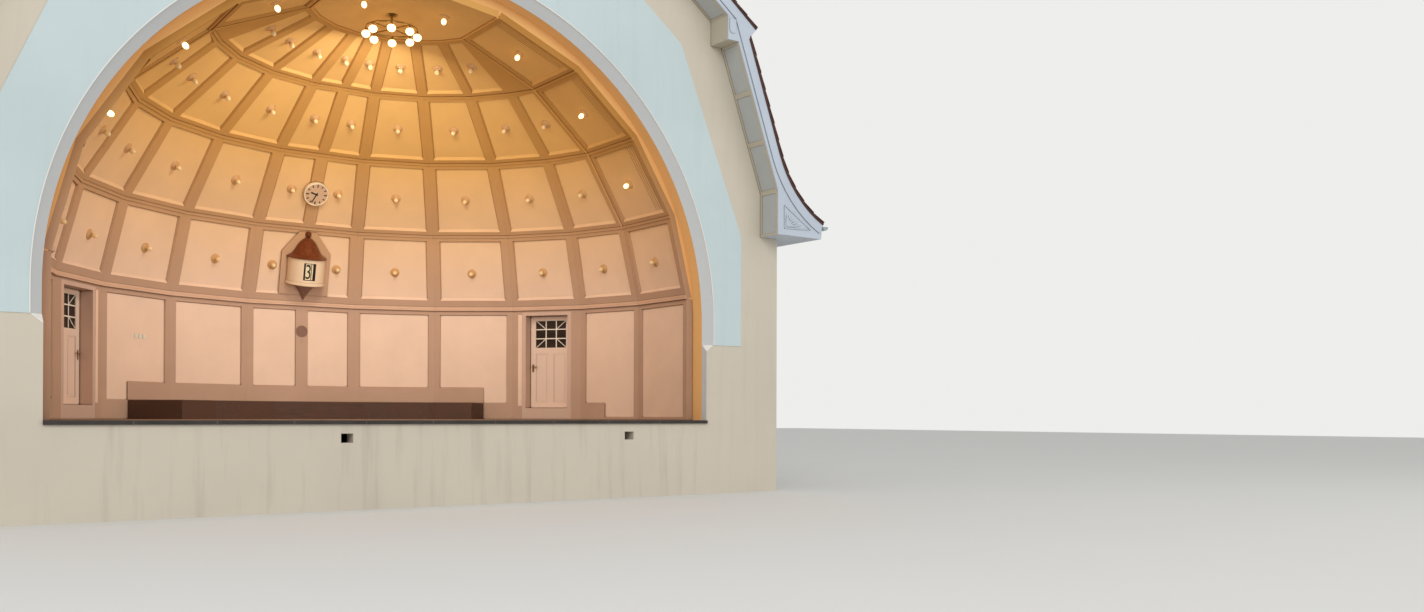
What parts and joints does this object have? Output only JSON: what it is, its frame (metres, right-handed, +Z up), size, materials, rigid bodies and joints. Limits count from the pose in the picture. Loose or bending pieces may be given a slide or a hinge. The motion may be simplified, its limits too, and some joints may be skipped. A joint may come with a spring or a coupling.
{
  "type": "band shell",
  "caption": "Concert band shell with a round-arched stage opening, a coffered half dome, side stage doors and a two-pitch tiled roof with deep white verges.",
  "frame": {"origin": "on the ground below the middle of the building's box", "axes": "+X to the right along the front as seen from the audience, +Y from the front into the building, +Z up; the front wall's face is the plane Y = -4.75 m"},
  "size_m": [16.872, 10.73, 14.2212],
  "materials": {
    "cream_render": "matte painted render",
    "blue_band_paint": "matte painted render",
    "white_plaster": "matte paint",
    "plain_render": "matte painted render",
    "clay_tile": "matte clay",
    "white_board": "satin paint",
    "soffit_board": "matte paint",
    "gutter_sheet": "satin paint",
    "shell_plaster": "matte painted plaster",
    "wall_plaster": "matte painted plaster",
    "cornice_plaster": "matte painted plaster",
    "stage_masonry": "matte painted render",
    "coping_stone": "matte stone",
    "stage_boards": "worn varnish",
    "podium_wood": "satin varnish",
    "door_paint": "satin paint",
    "frame_paint": "satin paint",
    "pane_glass": "clear",
    "brass_fitting": "polished",
    "hinge_steel": "brushed",
    "case_white": "gloss paint",
    "dial_face": "matte",
    "black_paint": "satin paint",
    "copper_sheet": "aged copper",
    "lamp_glass": "opal",
    "lamp_rose": "glazed",
    "grille_bronze": "satin"
  },
  "bodies": {
    "building": {"front_piers": "cream_render", "front_gable_left": "cream_render", "front_gable_right": "cream_render", "arch_band": "blue_band_paint", "side_walls": "plain_render", "rear_wall": "plain_render", "roof_upper_right": "clay_tile", "roof_upper_left": "clay_tile", "roof_lower_slopes": "clay_tile", "ridge_tiles": "clay_tile", "arch_bead": "white_plaster", "chamfer_stops": "white_plaster", "bargeboards": "white_board", "verge_soffits": "soffit_board", "eaves_boxes": "white_board", "gutters": "gutter_sheet", "vault_back": "shell_plaster", "vault_sides": "shell_plaster", "vault_fronts": "shell_plaster", "arch_closure": "shell_plaster", "vault_crown": "shell_plaster", "vault_rolls": "cornice_plaster", "main_cornice": "cornice_plaster", "shell_wall_back": "wall_plaster", "shell_wall_doors": "wall_plaster", "shell_wall_fronts": "wall_plaster", "stage_front_wall": "stage_masonry", "stage_coping": "coping_stone", "stage_floor": "stage_boards", "backstage_floor": "stage_boards", "podium": "podium_wood", "door_frames": "frame_paint", "hinge_pins": "hinge_steel", "vault_lamps": "lamp_rose", "crown_lamps": "brass_fitting", "clock": "case_white", "programme_box": "white_board", "programme_box_roof": "copper_sheet", "wall_grille": "grille_bronze"},
    "right_stage_door": {"door_leaf_right": "door_paint", "door_glass_right": "pane_glass", "door_fittings_right": "brass_fitting"},
    "left_stage_door": {"door_leaf_left": "door_paint", "door_glass_left": "pane_glass", "door_fittings_left": "brass_fitting"}
  },
  "joints": [
    {"name": "right_door_hinge", "type": "hinge", "parent": "building", "child": "right_stage_door", "pos_m": [5.15443, -0.54637, 2.732], "axis": [0, 0, -1], "range_deg": [0, 100]},
    {"name": "left_door_hinge", "type": "hinge", "parent": "building", "child": "left_stage_door", "pos_m": [-5.15443, -0.54637, 2.732], "axis": [0, 0, 1], "range_deg": [0, 100]}
  ]
}
